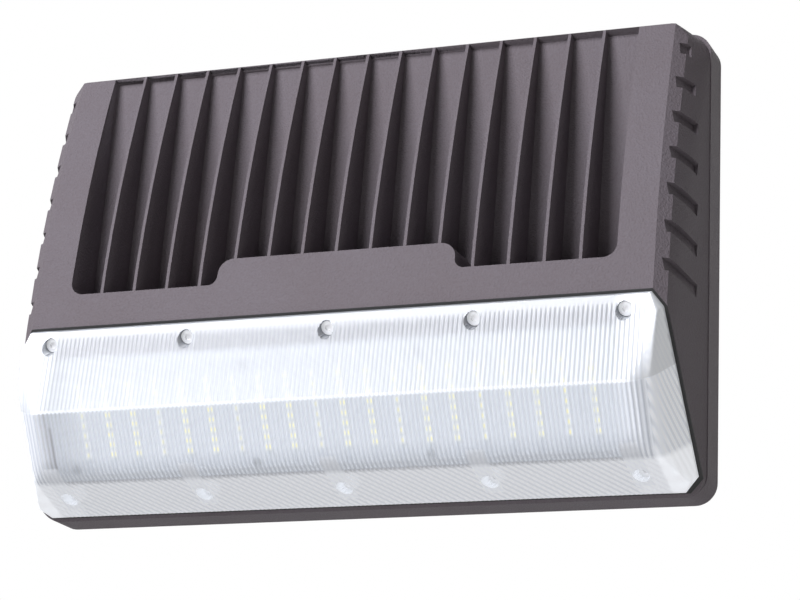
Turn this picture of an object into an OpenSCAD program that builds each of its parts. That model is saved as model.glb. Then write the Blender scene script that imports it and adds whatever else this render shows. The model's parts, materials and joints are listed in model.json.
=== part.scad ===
// Wall pack light: a die-cast back box on the wall, a finned door hinged on its left edge,
// and a prismatic lens over a slanted LED board at the foot of the door.
// X runs to the viewer's right, -Y towards the viewer, +Z up.
// The origin is the middle of the flat rear face that lies on the wall.

/* [Back box] */
// Width over everything but the hinge
box_w = 360; // [330:2:400]
// Height over everything
box_h = 240; // [220:2:270]
// Depth of the back box
box_d = 20; // [18:0.5:24]
// Side wall of the back box
wall_t = 4; // [3:0.5:5]
// Rear plate of the back box
box_plate = 3; // [2.5:0.5:4]
// Outer corner radius
box_r = 11; // [10:1:20]
// Width of the gasket groove in the front rim
seal_w = 2; // [1.5:0.25:2.5]
// Depth of the gasket groove in the front rim
seal_d = 1.5; // [1:0.25:2]

/* [Wall fixing] */
// Distance of the wall screw holes in from the sides
fix_in = 30; // [25:1:40]
// Distance of the wall screw holes in from the upper and lower edges
fix_end = 32; // [25:1:40]
// Radius of a wall screw hole
fix_r = 3.2; // [2.5:0.1:4]
// Height of the wire entry over the middle of the rear face
entry_z = 52; // [40:1:60]
// Radius of the wire entry hole in the rear plate
entry_r = 11; // [9:0.5:14]
// Radius of the hole in the rubber bushing of the wire entry
bush_r = 6; // [4:0.5:8]
// Distance between the two junction box screw holes
jbox_x = 88.9; // [80:0.1:90]
// Radius of a junction box screw hole
jbox_r = 2.4; // [2:0.1:3]
// Width of the foam strip on the rear face
foam_w = 8; // [6:0.5:10]
// Thickness of the foam strip, let into the rear face
foam_t = 1; // [0.8:0.1:1.4]
// Inset of the foam strip from the edge of the rear face
foam_in = 2; // [1:0.25:3]

/* [Door] */
// Step from the back box side in to the door side
door_step = 0.4; // [0.2:0.1:1]
// Gap between the back box rim and the door
door_gap = 0.4; // [0.3:0.1:0.6]
// Radius of the upper corners of the door at its rear edge
corner_rear = 15; // [14:0.5:20]
// Radius of the upper corners of the door at its front
corner_front = 8; // [6:0.5:10]
// Depth from the wall to the top front edge
top_d = 37; // [35:0.5:44]
// Depth from the wall to the foot of the slanted face
foot_d = 72; // [68:0.5:80]
// Height of the foot of the slanted face over the lower edge
foot_h = 90.5; // [88:0.5:98]
// Bulge of the slanted face
face_sag = 4.5; // [3:0.25:6]
// Distance of the side edges of the slanted face in from the sides
face_in = 14; // [12:0.5:16]
// Sideways reach of the bevel beside the slanted face
bevel_x = 6; // [4:0.5:7]
// Depth of the bevel beside the slanted face
bevel_d = 4.5; // [3:0.5:6]
// Wall of the door casting
door_wall = 3; // [2.5:0.25:3.5]

/* [Fins] */
// Number of fins in the pocket
fin_n = 15; // [11:2:17]
// Distance from fin to fin
fin_pitch = 18.4; // [17:0.1:18.6]
// Thickness of a fin
fin_t = 1.6; // [1.2:0.1:2.4]
// Distance of the pocket in from the side edges of the face
pocket_in = 19; // [16:0.5:26]
// Depth of the pocket at its top
pocket_top = 4.5; // [3.5:0.25:6]
// Depth of the pocket at the foot of the face
pocket_foot = 26; // [20:0.5:27]
// Height of the bevel that closes the pocket at its top edge
lip_h = 2; // [1:0.25:4]
// Distance from the foot of the face up to the pocket
pocket_rise = 18; // [15:0.5:24]
// Height of the raised tab over the lower edge of the pocket
tab_h = 14; // [8:0.5:18]
// Half width of the raised tab at its top
tab_hw = 56; // [40:1:70]
// Radius of the curves beside the raised tab
tab_r = 8; // [5:0.5:10]
// Radius of the fillets at the foot of the raised tab
tab_foot = 5; // [3:0.5:6]
// Number of gills on each side
gill_n = 7; // [5:1:7]
// Distance from gill to gill
gill_pitch = 20.2; // [18:0.1:21]
// Height of one gill
gill_h = 6.5; // [4:0.25:8]
// Depth of a gill at its upper edge
gill_t = 1.2; // [1:0.1:2.2]
// Extra depth of a gill at the front
gill_deep = 1.4; // [1:0.1:2]
// Slope of the gills in degrees
gill_a = 8; // [4:1:14]
// Distance of the gill ends from the rear edge of the door
gill_rear = 12.5; // [8:0.5:14]

/* [Lens] */
// Height of the lens over the slanted rim
lens_h = 32; // [28:0.5:36]
// Wall of the lens
lens_t = 2.6; // [2:0.1:3.2]
// Inset of the lens edge from the door edge
lens_in = 1.3; // [1:0.1:2]
// Cut of the lower lens corners
lens_corner = 7; // [6.5:0.25:7.25]
// Thickness of the lens gasket
lens_seal = 1; // [0.8:0.1:1.5]
// Height of the straight lens edge
lens_edge = 4; // [3:0.25:6]
// Distance from the lower lens edge to the lower crease
crease_low = 29.5; // [26:0.5:33]
// Distance from the lower lens edge to the upper crease
crease_up = 67; // [64:0.2:74]
// Distance of the outer lens screws in from the side edges of the face
lens_screw_in = 13; // [10:0.5:26]
// Distance of the lower lens screws from the lower edge
lens_screw_low = 16; // [15:0.5:18]
// Distance of the upper lens screws from the foot of the face
lens_screw_up = 8; // [7:0.5:9]
// Shank radius of a lens screw
lens_screw_r = 1.9; // [1.5:0.1:2.2]
// Radius of a lens screw head
lens_head_r = 3.6; // [3:0.1:4]

/* [LED board] */
// Number of LED columns
led_cols = 20; // [16:1:20]
// Number of LED rows
led_rows = 8; // [5:1:8]
// Distance of the outer LED columns in from the board ends
led_side = 19.2; // [15.4:0.1:30]
// Distance of the outer LED rows in from the board edges
led_end = 10.75; // [9:0.25:14]
// Width of one LED
led_w = 2.8; // [2:0.1:3.5]
// Length of one LED
led_l = 3.5; // [2.5:0.1:3.8]
// Distance of the LED board ends in from the side bevels
board_in = 16; // [14:1:22]
// Distance of the LED board from the upper and lower edges of the tray
board_end = 3.1; // [2.1:0.1:8]
// Thickness of the LED board
board_t = 1.6; // [1:0.1:2]
// Thickness of the white carrier tray
plate_t = 1.5; // [1:0.1:2]
// Height of the carrier tray over the slanted frame
tray_h = 9; // [6:0.5:10]
// Sideways offset of the LED columns
led_off = -3; // [-3:0.5:3]

/* [Driver] */
// Width of the driver case
driver_w = 128; // [100:1:140]
// Height of the driver case
driver_h = 46; // [36:1:52]
// Depth of the driver case
driver_d = 23; // [18:0.5:26]
// Height of the driver middle over the lower edge
driver_z = 78; // [70:1:90]

/* [Hinge and closure] */
// Distance of the hinge axis out from the back box side
hinge_out = 4; // [3.8:0.1:5]
// Radius of a hinge knuckle
knuckle_r = 3.4; // [3:0.1:3.5]
// Height of one hinge knuckle
knuckle_h = 8; // [6:0.5:12]
// Radius of a hinge pin
pin_r = 1.5; // [1.2:0.1:1.8]
// Running clearance round a hinge pin
pin_gap = 0.08; // [0.05:0.01:0.1]
// Height of the lower hinge over the lower edge
hinge_low = 32; // [25:1:45]
// Height of the upper hinge over the lower edge
hinge_high = 130; // [110:1:140]
// Shank radius of a closure screw
close_r = 1.9; // [1.5:0.1:2]
// Distance of the first closure screw from the middle
close_x1 = 30; // [20:1:50]
// Distance of the second closure screw in from the side edge of the face
close_in = 18; // [16:1:46]
// Distance of the closure screws from the back box rim
close_d = 5; // [4.5:0.25:5.5]

/* [Hidden] */
$fn = 48;

// Overrun of every cut past the face that it opens
cut = 1;
// Clearance between pieces that lie next to each other
play = 0.3;
// Thickness of the thin slices that a rounded form is spun between
slice = 0.01;

bronze = [0.33, 0.28, 0.30];
hinge_x = -box_w / 2 - hinge_out;
hinge_d = box_d + door_gap / 2;
door_back = box_d + door_gap;
door_hw = box_w / 2 - door_step;
door_h = box_h;
rim_d0 = door_back + play;
rim_run = foot_d - rim_d0;
rim_len = sqrt(rim_run * rim_run + foot_h * foot_h);
rim_a = 180 - atan2(foot_h, rim_run);
face_hw = box_w / 2 - face_in;
bevel_hw = face_hw + bevel_x;
pocket_hw = face_hw - pocket_in;
lens_screw_x = (face_hw - lens_screw_in) / 2;
board_hw = bevel_hw - board_in;
led_x = 2 * (board_hw - led_side) / (led_cols - 1);
close_x2 = face_hw - close_in;
fix_x = box_w - 2 * fix_in;
fix_z = box_h - 2 * fix_end;

// Depth of the slanted face and of the pocket floor at height z over the lower edge
function face_t(z) = (door_h - z) / (door_h - foot_h);
function face_d(z) = top_d + (foot_d - top_d) * face_t(z) + 4 * face_sag * face_t(z) * (1 - face_t(z));
function floor_d(z) = top_d - pocket_top
  + (foot_d - pocket_foot - top_d + pocket_top) * face_t(z);

// Puts a piece drawn from the lower rear edge up and out into the part's frame
module from_edge() translate([0, 0, -box_h / 2]) children();

// Frame of the slanted rim: X across, Y up along the slant, Z out of the door
module on_rim() from_edge() translate([0, -rim_d0, 0]) rotate([rim_a, 0, 0]) children();

// Turns a drawing in X and Z into a plate from depth d0 to depth d1
module depth(d0, d1) translate([0, -d0, 0]) rotate([90, 0, 0]) linear_extrude(d1 - d0) children();

module round_rect(w, h, r) {
  translate([-w / 2 + r, 0]) square([w - 2 * r, h]);
  translate([-w / 2, r]) square([w, h - 2 * r]);
  for (x = [-w / 2 + r, w / 2 - r])
    for (z = [r, h - r])
      translate([x, z]) circle(r);
}

module inset_rect(by) translate([0, by])
  round_rect(box_w - 2 * by, box_h - 2 * by, max(box_r - by, play));

// The same outline, cut at the upper corners to the radius of the door and its seal
module seal_rect(by) {
  r = max(seal_corner - by, play);
  intersection() {
    inset_rect(by);
    union() {
      translate([-box_w, 0]) square([2 * box_w, box_h - by - r]);
      translate([-box_w / 2 + by + r, 0]) square([box_w - 2 * by - 2 * r, box_h]);
      for (x = [-1, 1]) translate([x * (box_w / 2 - by - r), box_h - by - r]) circle(r);
    }
  }
}

module ring_2d(outer, inner) difference() {
  inset_rect(outer);
  inset_rect(inner);
}

module seal_ring(outer, inner) difference() {
  seal_rect(outer);
  seal_rect(inner);
}

// Screw with a domed head on top of a shank that hangs down from the origin
module screw(r, l, head_r, head_h) {
  translate([0, 0, -l]) cylinder(r = r, h = l);
  difference() {
    cylinder(r = head_r, h = head_h);
    translate([0, 0, head_h / 2]) cylinder(r = head_r / 2, h = head_h, $fn = 6);
  }
}

// Back box

seal_in = wall_t / 2 - seal_w / 2;
seal_corner = corner_rear + seal_in;
boss_r = 5;
// Overlap of a hinge web with its casting
web_in = 2;
boss_d = 6;
boss_hole = 1.6;
driver_tab = 10;
driver_boss_x = driver_w / 2 + driver_tab / 2;
ground_x = 40;
ground_in = 44;
ground_z = box_h - ground_in;
lug_hw = 8;
lug_t = 6;
lug_reach = 3.6;
lug_play = 0.7;
lug_slot = close_r + lug_play;
lug_d = close_d + lug_reach;
lug_z = box_h - door_wall - play - lug_t;
lug_root = 12;
clip_in = 30;
clip_x = -box_w / 2 + clip_in;
clip_z = 100;

module knuckle(z, web_d0, web_d1, web_x, hole_r) difference() {
  union() {
    translate([hinge_x, -hinge_d, z]) cylinder(r = knuckle_r, h = knuckle_h);
    translate([hinge_x, -web_d1, z]) cube([web_x - hinge_x, web_d1 - web_d0, knuckle_h]);
  }
  translate([hinge_x, -hinge_d, z - cut]) cylinder(r = hole_r, h = knuckle_h + 2 * cut);
}

module box_boss(x, z) translate([x, -box_plate, z]) rotate([90, 0, 0]) cylinder(r = boss_r, h = boss_d);

module lug(x) difference() {
  translate([x - lug_hw, -box_d - lug_d, lug_z]) cube([2 * lug_hw, lug_d + lug_root, lug_t]);
  translate([x, -box_d - close_d, lug_z - cut]) cylinder(r = lug_slot, h = lug_t + 2 * cut);
  translate([x - lug_slot, -box_d - lug_d - cut, lug_z - cut])
    cube([2 * lug_slot, lug_d - close_d + cut, lug_t + 2 * cut]);
}

module back_plate() color(bronze) from_edge() difference() {
  union() {
    depth(0, box_plate) inset_rect(0);
    for (x = [-driver_boss_x, driver_boss_x]) box_boss(x, driver_z);
    box_boss(ground_x, ground_z);
  }
  depth(-cut, foam_t) ring_2d(foam_in, foam_in + foam_w);
  for (x = [-fix_x / 2, fix_x / 2])
    for (z = [-fix_z / 2, fix_z / 2])
      translate([x, cut, box_h / 2 + z]) rotate([90, 0, 0]) cylinder(r = fix_r, h = box_plate + 2 * cut);
  translate([0, cut, box_h / 2 + entry_z]) rotate([90, 0, 0]) cylinder(r = entry_r, h = box_plate + 2 * cut);
  for (x = [-jbox_x / 2, jbox_x / 2])
    translate([x, cut, box_h / 2 + entry_z]) rotate([90, 0, 0]) cylinder(r = jbox_r, h = box_plate + 2 * cut);
  for (x = [-driver_boss_x, driver_boss_x])
    translate([x, -box_plate - cut, driver_z]) rotate([90, 0, 0]) cylinder(r = boss_hole, h = boss_d + cut);
  translate([ground_x, -box_plate - cut, ground_z])
    rotate([90, 0, 0]) cylinder(r = boss_hole, h = boss_d + cut);
}

module box_wall() color(bronze) from_edge() difference() {
  union() {
    depth(box_plate, box_d) difference() {
      inset_rect(0);
      seal_rect(wall_t);
    }
    for (z = [hinge_low, hinge_high])
      knuckle(z, hinge_d - knuckle_r, hinge_d - door_gap, -box_w / 2 + web_in, pin_r);
    for (x = [close_x1, close_x2]) lug(x);
  }
  depth(box_d - seal_d, box_d + cut) seal_ring(seal_in, seal_in + seal_w);
}

module wall_foam() color("dimgray") from_edge()
  depth(0, foam_t - slice) ring_2d(foam_in + play / 2, foam_in + foam_w - play / 2);

// Silicone cord in the rim groove, proud by the door gap
module rim_gasket() color("gainsboro") from_edge()
  depth(box_d - seal_d + slice, box_d + play / 3) seal_ring(seal_in + play / 2, seal_in + seal_w - play / 2);

bush_lip = 3;
bush_lip_t = 2;
bush_set = 0.2;
module wire_bushing() color([0.12, 0.12, 0.12])
  translate([0, 0, entry_z]) rotate([90, 0, 0]) difference() {
    union() {
      translate([0, 0, bush_set]) cylinder(r = entry_r - play / 3, h = box_plate);
      translate([0, 0, box_plate + slice]) cylinder(r = entry_r + bush_lip, h = bush_lip_t);
    }
    translate([0, 0, -cut]) cylinder(r = bush_r, h = box_plate + bush_lip_t + 3 * cut);
  }

// Driver and wiring in the back box

driver_r = 4;
tab_t = 1.5;
// Grip and heads of the screws in the bosses of the back plate
boss_grip = 5;
driver_head_r = 2.6;
driver_head_h = 1.6;
ground_head_h = 2;
lead_r = 1.1;
lead_tail = 6;
driver_base = box_plate + boss_d;

module led_driver() color("silver") from_edge() translate([0, 0, driver_z]) {
  difference() {
    depth(driver_base + slice, driver_base + driver_d) translate([0, -driver_h / 2])
      round_rect(driver_w, driver_h, driver_r);
    for (x = [-driver_w / 2 - slice, driver_w / 2 - 2 * tab_t + slice])
      translate([x, -driver_base - driver_d - cut, -driver_h / 4])
        cube([2 * tab_t, driver_d - tab_t + cut, driver_h / 2]);
  }
  for (s = [-1, 1]) difference() {
    depth(driver_base + slice, driver_base + tab_t) translate([s * driver_boss_x, 0])
      square([driver_tab + 4 * tab_t, driver_h / 3], center = true);
    translate([s * driver_boss_x, 0, 0])
      rotate([90, 0, 0]) cylinder(r = lens_screw_r + play / 3, h = driver_base + driver_d);
  }
}

module driver_screws() color("gainsboro") from_edge() for (x = [-driver_boss_x, driver_boss_x])
  translate([x, -driver_base - tab_t - slice, driver_z]) rotate([90, 0, 0])
    screw(boss_hole - play / 3, boss_grip, driver_head_r, driver_head_h);

// Lead with rounded ends and bends that runs straight from point to point
lead_fn = 16;
module run(points, r) for (i = [0:len(points) - 2]) hull() {
  translate(points[i]) sphere(r, $fn = lead_fn);
  translate(points[i + 1]) sphere(r, $fn = lead_fn);
}

nut_w = 4;
nut_l = 16;
nut_room = 14;
nut_pitch = 18;
nut_xs = [for (i = [0:2]) driver_w / 2 + nut_room + i * nut_pitch];
nut_shares = [0.95, 0.6];
nut_z = 150;
nut_d = box_plate + nut_w + play;
lead_out_z = driver_z + driver_h / 4;
lead_gap = 4 * lead_r;
lead_d = driver_base + driver_d / 2;

// Line, neutral and earth leads from the driver's right end up into the wire nuts
module supply_leads() for (i = [0:2])
  color([[0.1, 0.1, 0.1], [0.9, 0.9, 0.9], [0.1, 0.45, 0.15]][i]) from_edge() run([
    [driver_w / 2 - 2 * tab_t + play + lead_r, -lead_d, lead_out_z - i * lead_gap - driver_h / 8],
    [nut_xs[i] - i * nut_w, -lead_d, lead_out_z - i * lead_gap - driver_h / 8],
    [nut_xs[i], -nut_d, nut_z - 2 * lead_tail],
    [nut_xs[i], -nut_d, nut_z - play - lead_r]], lead_r);

module wire_nuts() for (i = [0:2])
  color([[0.85, 0.45, 0.1], [0.9, 0.8, 0.2], [0.15, 0.5, 0.2]][i]) from_edge()
    translate([nut_xs[i], -nut_d, nut_z]) rotate_extrude() polygon([[0, 0], [nut_w, 0],
      [nut_w * nut_shares[0], nut_l / 4], [nut_w * nut_shares[1], nut_l], [0, nut_l]]);

module ground_screw() color([0.15, 0.5, 0.2]) from_edge()
  translate([ground_x, -box_plate - boss_d - slice, ground_z]) rotate([90, 0, 0])
    screw(boss_hole - play / 3, boss_grip, lens_head_r, ground_head_h);

clip_w = 8;
clip_h = 6;
clip_d = 7;
clip_gap = 0.1;

// A clip block with a round way through it for the lead
module clip(d0, d1) difference() {
  translate([clip_x - clip_w / 2, -d1, clip_z - clip_h / 2]) cube([clip_w, d1 - d0, clip_h]);
  translate([clip_x - clip_w, -lead_clip_d, clip_z])
    rotate([0, 90, 0]) cylinder(r = lead2_r + clip_gap, h = 2 * clip_w);
}
lead2_r = 1.8;
clip_rise = 1;
lead_clip_d = box_plate + clip_d / 2 + clip_rise;

module lead_clip_box() color([0.12, 0.12, 0.12]) from_edge() clip(box_plate + slice, box_plate + clip_d);

// The two-core lead from the driver's left end to the clip beside the hinge
module output_lead() color([0.15, 0.15, 0.15]) from_edge() run([
  [-driver_w / 2 + 2 * tab_t - play - lead2_r, -lead_d, driver_z],
  [-driver_w / 2 - 3 * lead_tail, -lead_d, driver_z],
  [-driver_w / 2 - 6 * lead_tail, -lead_clip_d, clip_z],
  [clip_x - clip_w / 2, -lead_clip_d, clip_z]], lead2_r);

module hinge_pins() color("silver") from_edge() for (z = [hinge_low, hinge_high])
  translate([hinge_x, -hinge_d, z + slice]) cylinder(r = pin_r - slice, h = 2 * knuckle_h + play);

// Door

pocket_base = foot_h + pocket_rise;
pocket_r = 7;
door_zs_share = [0, 0.15, 0.3, 0.39, 0.5, 0.6, 0.7, 0.8, 0.9];
corner_zs_share = [1, 0.75, 0.53, 0.35, 0.2, 0.09, 0.02, 0];
// Heights of the cross-sections, closer together at the upper corners
door_zs = concat(door_zs_share * door_h, [for (k = corner_zs_share) door_h - k * corner_rear]);

// What a rounded upper corner takes off the half width at height z
function corner_in(z, r) = z > door_h - r ? r - sqrt(r * r - (z - door_h + r) * (z - door_h + r)) : 0;

// Cross-section of the door at height z, drawn in X and depth, inset by a wall
module door_slice(z, by) {
  d = face_d(z) - by;
  rear = door_hw - by - corner_in(z, corner_rear);
  front = bevel_hw - by - corner_in(z, corner_front);
  face = min(face_hw - by / 2, front);
  back = -door_back + (by > 0 ? cut : 0);
  translate([0, 0, min(max(z, by), door_h - by - slice)]) linear_extrude(slice) polygon([
    [-rear, back], [-front, -d + bevel_d], [-face, -d], [face, -d], [front, -d + bevel_d], [rear, back]]);
}

module door_form(by) hull() for (z = door_zs) door_slice(z, by);

// Everything on the lens side of the slanted rim, moved back by a distance
module rim_side(back) translate([0, -rim_d0, 0]) rotate([rim_a, 0, 0])
  translate([-box_w, -box_h, -back]) cube([2 * box_w, 2.5 * box_h, box_h]);

// Outline of the pocket in X and Z with the raised tab at its lower edge
module pocket_2d(by) difference() {
  union() {
    translate([-pocket_hw - by, pocket_base - by + pocket_r])
      square([2 * (pocket_hw + by), door_h - pocket_base + by + cut]);
    translate([-pocket_hw - by + pocket_r, pocket_base - by])
      square([2 * (pocket_hw + by - pocket_r), pocket_r]);
    for (x = [-1, 1])
      translate([x * (pocket_hw + by - pocket_r), pocket_base - by + pocket_r]) circle(pocket_r);
  }
  translate([-tab_hw - tab_r + by, pocket_base - by - cut])
    square([2 * (tab_hw + tab_r - by), tab_h - tab_r + cut]);
  translate([-tab_hw + by, pocket_base - by - cut]) square([2 * (tab_hw - by), tab_h + cut]);
  for (m = [0, 1]) mirror([m, 0, 0]) {
    translate([tab_hw - by, pocket_base - by + tab_h - tab_r]) circle(tab_r);
    translate([tab_hw + tab_r - by, pocket_base - by]) difference() {
      translate([-play, -play]) square(tab_foot + play);
      translate([tab_foot, tab_foot]) circle(tab_foot);
    }
  }
}

// Solid in front of the pocket floor, set back by a wall
module before_floor(back) rotate([90, 0, 90]) translate([0, 0, -box_w]) linear_extrude(2 * box_w)
  polygon([[-2 * foot_d, 0], [-floor_d(0) + back, 0], [-floor_d(door_h - lip_h) + back, door_h - lip_h],
    [-top_d + (back > 0 ? back + pocket_top : slice), door_h], [-2 * foot_d, door_h]]);

module pocket(by) intersection() {
  depth(door_back, 2 * foot_d) pocket_2d(by);
  before_floor(by);
}

module fins() for (k = [-(fin_n - 1) / 2 : (fin_n - 1) / 2])
  translate([k * fin_pitch - fin_t / 2, -2 * foot_d, 0]) cube([fin_t, 2 * foot_d, 2 * box_h]);

// One gill: a wedge, deep at its upper edge, that runs down and back along the side
module gill(z) {
  d0 = face_d(z) - bevel_d;
  a = atan2(door_hw - bevel_hw + gill_deep + gill_out, d0 - door_back);
  translate([bevel_hw - gill_deep, -d0, z]) rotate([-gill_a, 0, 0]) rotate([0, 0, -a])
    rotate([0, -atan2(gill_t, gill_h), 0]) translate([-gill_t, -bevel_d * gill_front_share, -gill_h])
      cube([4 * gill_t + gill_deep, d0 - door_back - gill_rear + bevel_d * gill_front_share, gill_h]);
}

gill_front_share = 0.7;
// Bulge of the side that the rear end of a gill follows
gill_out = 0.4;
gill_drop = 12;
gill_top = door_h - gill_drop;
open_in = 6;
open_hw = board_hw - open_in;
open_low = 31;
open_up_in = 22;
open_up = rim_len - open_up_in;
flange_t = 3;
lens_boss_wall = 2;
lens_boss_l = 5;
boss_h = flange_t + lens_boss_l;
nut_flat = 3.4;

module door_lens_holes(r, l) for (i = [-2:2])
  for (s = [lens_screw_low, rim_len - lens_screw_up])
    translate([i * lens_screw_x, s, -l]) cylinder(r = r, h = 2 * l);

module door_shell() difference() {
  union() {
    difference() {
      intersection() {
        door_form(0);
        depth(door_back, 2 * foot_d) round_rect(2 * door_hw, door_h, box_r - door_step);
      }
      difference() {
        door_form(door_wall);
        pocket(door_wall);
        rim_side(flange_t);
      }
      pocket(0);
      for (m = [0, 1]) mirror([m, 0, 0])
        for (k = [0:gill_n - 1]) gill(gill_top - k * gill_pitch);
    }
    translate([0, -rim_d0, 0]) rotate([rim_a, 0, 0]) intersection() {
      door_lens_holes(lens_screw_r + lens_boss_wall, boss_h);
      translate([-box_w, rim_len / 2, -boss_h]) cube([2 * box_w, rim_len, boss_h]);
    }
    for (z = [hinge_low, hinge_high])
      knuckle(z + knuckle_h + play, hinge_d + door_gap, hinge_d + knuckle_r,
        -door_hw + web_in, pin_r + pin_gap);
  }
  rim_side(0);
  translate([0, -rim_d0, 0]) rotate([rim_a, 0, 0]) {
    translate([-open_hw, open_low, -flange_t - 2 * cut])
      cube([2 * open_hw, open_up - open_low, flange_t + 3 * cut]);
    for (x = [-1, 1])
      translate([x * carrier_x, board_mid, -flange_t - cut]) cylinder(r = small_r, h = flange_t + 2 * cut);
    door_lens_holes(lens_screw_r - play / 3, flange_t + lens_boss_l + cut);
  }
  for (x = [close_x1, close_x2])
    translate([x, -box_d - close_d, door_h - 2 * door_wall]) cylinder(r = close_r + play, h = 3 * door_wall);
  translate([-box_w, -door_back, -cut]) cube([2 * box_w, door_back + cut, box_h + 2 * cut]);
}

module door_casting() color(bronze) from_edge() difference() {
  door_shell();
  rim_side(flange_t);
}

module cooling_fins() color(bronze) from_edge() intersection() {
  door_form(0);
  pocket(0);
  fins();
}

// Slanted frame that the lens and the LED carrier are screwed to
module lens_frame() color(bronze) from_edge() intersection() {
  door_shell();
  rim_side(flange_t);
}

// Lens on the slanted rim

// Raise of the lower lens edge over the foot of the slanted rim
lens_lift = 2;
lens_low = lens_in + lens_lift;
lens_up = rim_len - lens_in;
side_out = door_hw - bevel_hw;
lens_corner_s = rim_len - (bevel_d / rim_run) * rim_len;

// Half width of the door edge at a distance along the slant
function edge_hw(s) = door_hw - side_out * s / lens_corner_s;

module lens_outline(by, in) polygon([
  [-edge_hw(0) + in + lens_corner, lens_low + by], [edge_hw(0) - in - lens_corner, lens_low + by],
  [edge_hw(0) - in, lens_low + by + lens_corner], [bevel_hw - in, lens_corner_s],
  [face_hw - in, lens_up - by], [-face_hw + in, lens_up - by],
  [-bevel_hw + in, lens_corner_s], [-edge_hw(0) + in, lens_low + by + lens_corner]]);

lens_draft = 4;
lens_round = 8;
crease_r = 5;
lens_flare = 1;
point_fn = 8;

// Outer or inner form of the lens, drawn over the rim plane
module lens_form(by, from) hull() {
  translate([0, 0, from]) linear_extrude(slice) lens_outline(by, lens_in + by);
  translate([0, 0, lens_edge]) linear_extrude(slice) lens_outline(by, lens_in + by);
  for (x = [-1, 1]) {
    translate([x * (bevel_hw - lens_draft - lens_round), crease_up - by / 2, lens_h - slice - by])
      sphere(r = slice, $fn = point_fn);
    translate([x * (bevel_hw - lens_draft - by), crease_up - by / 2, lens_h - lens_round - by])
      sphere(r = slice, $fn = point_fn);
    for (a = [0, 30, 60, 90])
      translate([x * (bevel_hw - lens_draft - lens_round), crease_low + by / 2, lens_h - crease_r - by])
        translate([0, crease_r - crease_r * sin(a), crease_r * cos(a) - slice]) sphere(r = slice, $fn = point_fn);
    translate([x * (bevel_hw - lens_draft + lens_flare - by), crease_low + by / 2, lens_h - lens_round - by])
      sphere(r = slice, $fn = point_fn);
  }
}

well_gap = 0.6;
well_wall = 1.6;
well_r = lens_head_r + well_gap;
seat_t = 2.4;
seat_h = lens_seal + seat_t;
lip_in = 5;
lip_rise = 1.4;
lens_head_h = 2;

module lens() color([0.93, 0.95, 0.98, 0.5]) on_rim() difference() {
  union() {
    difference() {
      lens_form(0, lens_seal);
      difference() {
        lens_form(lens_t, lens_seal - cut);
        translate([-box_w, lens_low, lens_seal - 2 * cut])
          cube([2 * box_w, lens_t + lip_in, 2 * cut + lens_edge - lip_rise]);
      }
    }
    intersection() {
      lens_form(0, lens_seal);
      for (i = [-2:2])
        for (s = [lens_screw_low, rim_len - lens_screw_up])
          translate([i * lens_screw_x, s, lens_seal]) cylinder(r = well_r + well_wall, h = lens_h);
    }
  }
  for (i = [-2:2])
    for (s = [lens_screw_low, rim_len - lens_screw_up]) {
      translate([i * lens_screw_x, s, seat_h]) cylinder(r = well_r, h = lens_h + cut);
      translate([i * lens_screw_x, s, 0]) cylinder(r = lens_screw_r + play, h = lens_h);
    }
}

seal_band = 3.5;
module lens_gasket() color([0.12, 0.12, 0.12]) on_rim() difference() {
  translate([0, 0, slice]) linear_extrude(lens_seal - 2 * slice) difference() {
    lens_outline(-lens_in, play / 3);
    lens_outline(2 * seal_band, lens_in + 2 * seal_band);
  }
  door_lens_holes(lens_screw_r + play, 3 * lens_seal);
}

module lens_screws() color("gainsboro") on_rim() for (i = [-2:2])
  for (s = [lens_screw_low, rim_len - lens_screw_up])
    translate([i * lens_screw_x, s, seat_h + slice])
      screw(lens_screw_r - play / 2, seat_h + flange_t - play, lens_head_r, lens_head_h);

// LED carrier

screw_xs_share = [-0.95, -0.3, 0.3, 0.95];
small_r = 1.2;
small_in = 3;
small_head_r = 2.2;
small_head_h = 1.2;
well_room = 8;
tray_side = 4;
tray_hw = board_hw + tray_side;
ear_w = 6;
ear_l = 10;
ear_hole = 3;
board_mid = (open_low + open_up) / 2;
carrier_x = tray_hw + ear_hole;
plate_z = tray_h - plate_t;
plate_low = lens_screw_low + well_room;
plate_up = rim_len - lens_screw_up - well_room;
board_l = plate_up - plate_low - 2 * board_end;
led_s = (board_l - 2 * led_end) / (led_rows - 1);

module small_holes(r, z, h, s_edge) for (k = screw_xs_share)
  for (m = [-1, 1]) translate([k * board_hw, board_mid + m * s_edge, z]) cylinder(r = r, h = h);

module carrier_plate() color("white") on_rim() difference() {
  union() {
    difference() {
      translate([-tray_hw, plate_low, slice]) cube([2 * tray_hw, plate_up - plate_low, tray_h - slice]);
      translate([-tray_hw + plate_t, plate_low + plate_t, -cut])
        cube([2 * (tray_hw - plate_t), plate_up - plate_low - 2 * plate_t, plate_z + cut]);
    }
    translate([-tray_hw - ear_w, board_mid - ear_l / 2, slice]) cube([ear_w + plate_t / 2, ear_l, plate_t]);
    translate([tray_hw - plate_t / 2, board_mid - ear_l / 2, slice]) cube([ear_w + plate_t / 2, ear_l, plate_t]);
  }
  small_holes(small_r - play / 3, plate_z - cut, 3 * cut + plate_t, board_l / 2 - small_in);
  for (x = [-1, 1])
    translate([x * carrier_x, board_mid, -cut]) cylinder(r = small_r + play / 3, h = plate_t + 2 * cut);
}

module led_board() color("white") on_rim() difference() {
  translate([-board_hw, board_mid - board_l / 2, plate_z + plate_t + slice]) cube([2 * board_hw, board_l, board_t]);
  small_holes(small_r + play / 3, plate_z, 3 * plate_t + board_t, board_l / 2 - small_in);
}

led_t = 0.8;
led_z = plate_z + plate_t + board_t + slice;
module leds() color([1, 0.93, 0.6]) on_rim() for (i = [0:led_cols - 1])
  for (j = [0:led_rows - 1])
    translate([led_off + (i - (led_cols - 1) / 2) * led_x - led_w / 2,
      board_mid + (j - (led_rows - 1) / 2) * led_s - led_l / 2, led_z + slice])
      cube([led_w, led_l, led_t]);

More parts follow.
